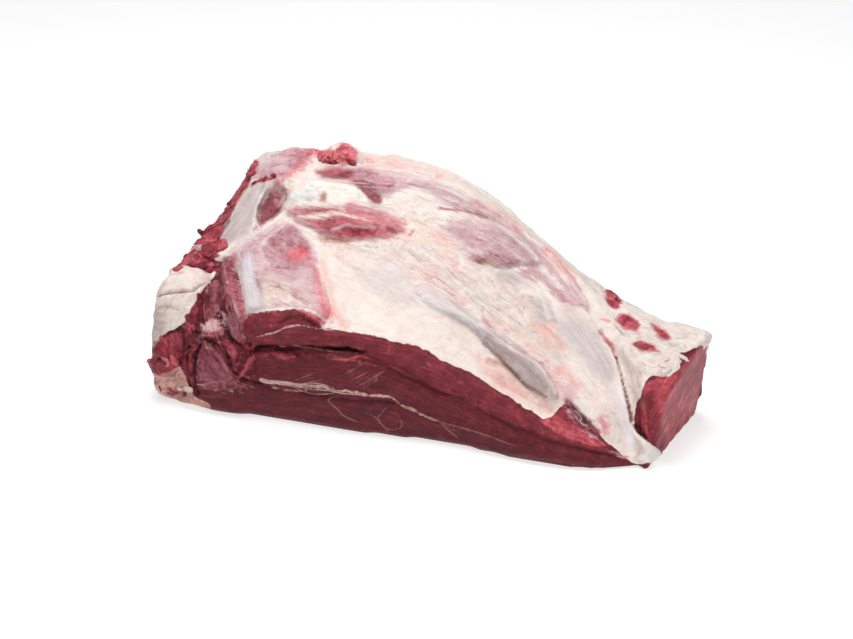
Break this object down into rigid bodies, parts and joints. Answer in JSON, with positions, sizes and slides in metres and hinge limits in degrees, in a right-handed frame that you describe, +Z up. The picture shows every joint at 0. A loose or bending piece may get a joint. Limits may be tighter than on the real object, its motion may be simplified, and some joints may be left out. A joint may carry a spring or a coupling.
{
  "type": "raw beef shoulder clod",
  "caption": "A whole raw beef shoulder clod, boneless, cut flat along the front and across the thin end, with fat, silverskin and a torn thick end; food to lie on a board, tray or counter",
  "frame": {"origin": "under the middle of the clod, on the surface it lies on", "axes": "+X from the thick torn end to the thin cut end, -Y out of the long cut face, +Z up"},
  "size_m": [0.452, 0.2514, 0.174],
  "materials": {
    "raw_beef": "moist raw beef with cream fat and silverskin"
  },
  "bodies": {
    "root": {"shoulder_clod": "raw_beef"}
  },
  "joints": []
}
